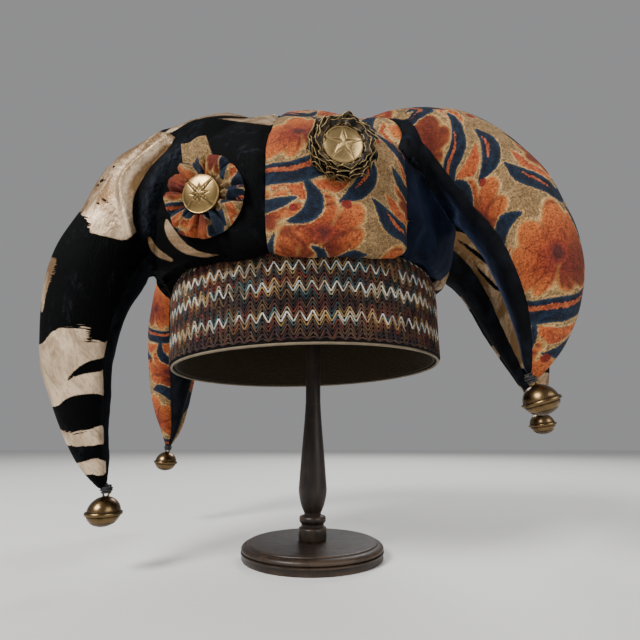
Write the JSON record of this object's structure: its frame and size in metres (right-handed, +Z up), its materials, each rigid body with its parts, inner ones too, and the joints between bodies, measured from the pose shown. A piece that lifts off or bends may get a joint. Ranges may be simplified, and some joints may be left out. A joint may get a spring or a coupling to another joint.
{
  "type": "jester hat on a display stand",
  "caption": "Jester hat of velvet and tapestry with drooping belled horns, a zigzag knit headband, rosettes and brass buttons, on a turned wooden stand.",
  "frame": {"origin": "centre of the stand's foot, on the floor under the stem's axis", "axes": "+Z up along the stem, -Y towards the front of the hat, +X to the viewer's right"},
  "size_m": [0.3694, 0.2468, 0.3165],
  "materials": {
    "zebra_velvet": "crushed velvet, cream brush marks on black, silvery sheen",
    "floral_tapestry": "woven tapestry, sand ground with orange and navy plant forms",
    "navy_velvet": "dark navy velvet",
    "black_velvet": "black velvet",
    "zigzag_knit": "multicoloured zigzag knit on near-black brown",
    "lining_cloth": "dark ribbed cotton",
    "piping_cloth": "light tan piping",
    "bronze_ribbon": "dark bronze ribbon with gold edge threads",
    "antique_brass": "antique brass, darkened in the low places",
    "dark_wood": "dark stained wood, satin varnish worn brown on the edges"
  },
  "bodies": {
    "root": {"horn_front_left": "zebra_velvet", "horn_front_left_under": "black_velvet", "crown_front": "floral_tapestry", "crown_right": "navy_velvet", "horn_front_right": "floral_tapestry", "horn_back_right": "zebra_velvet", "horn_back_right_under": "black_velvet", "crown_back": "navy_velvet", "horn_back_left": "floral_tapestry", "horn_back_left_under": "black_velvet", "headband": "zigzag_knit", "band_lining": "lining_cloth", "rim_piping": "piping_cloth", "rosette_tapestry": "floral_tapestry", "rosette_ribbon": "bronze_ribbon", "button_left": "antique_brass", "button_right": "antique_brass", "bell_front_left": "antique_brass", "bell_front_right": "antique_brass", "bell_back_left": "antique_brass", "bell_back_right": "antique_brass", "stand_base": "dark_wood", "stand_stem": "dark_wood", "stand_cap": "dark_wood"}
  },
  "joints": []
}
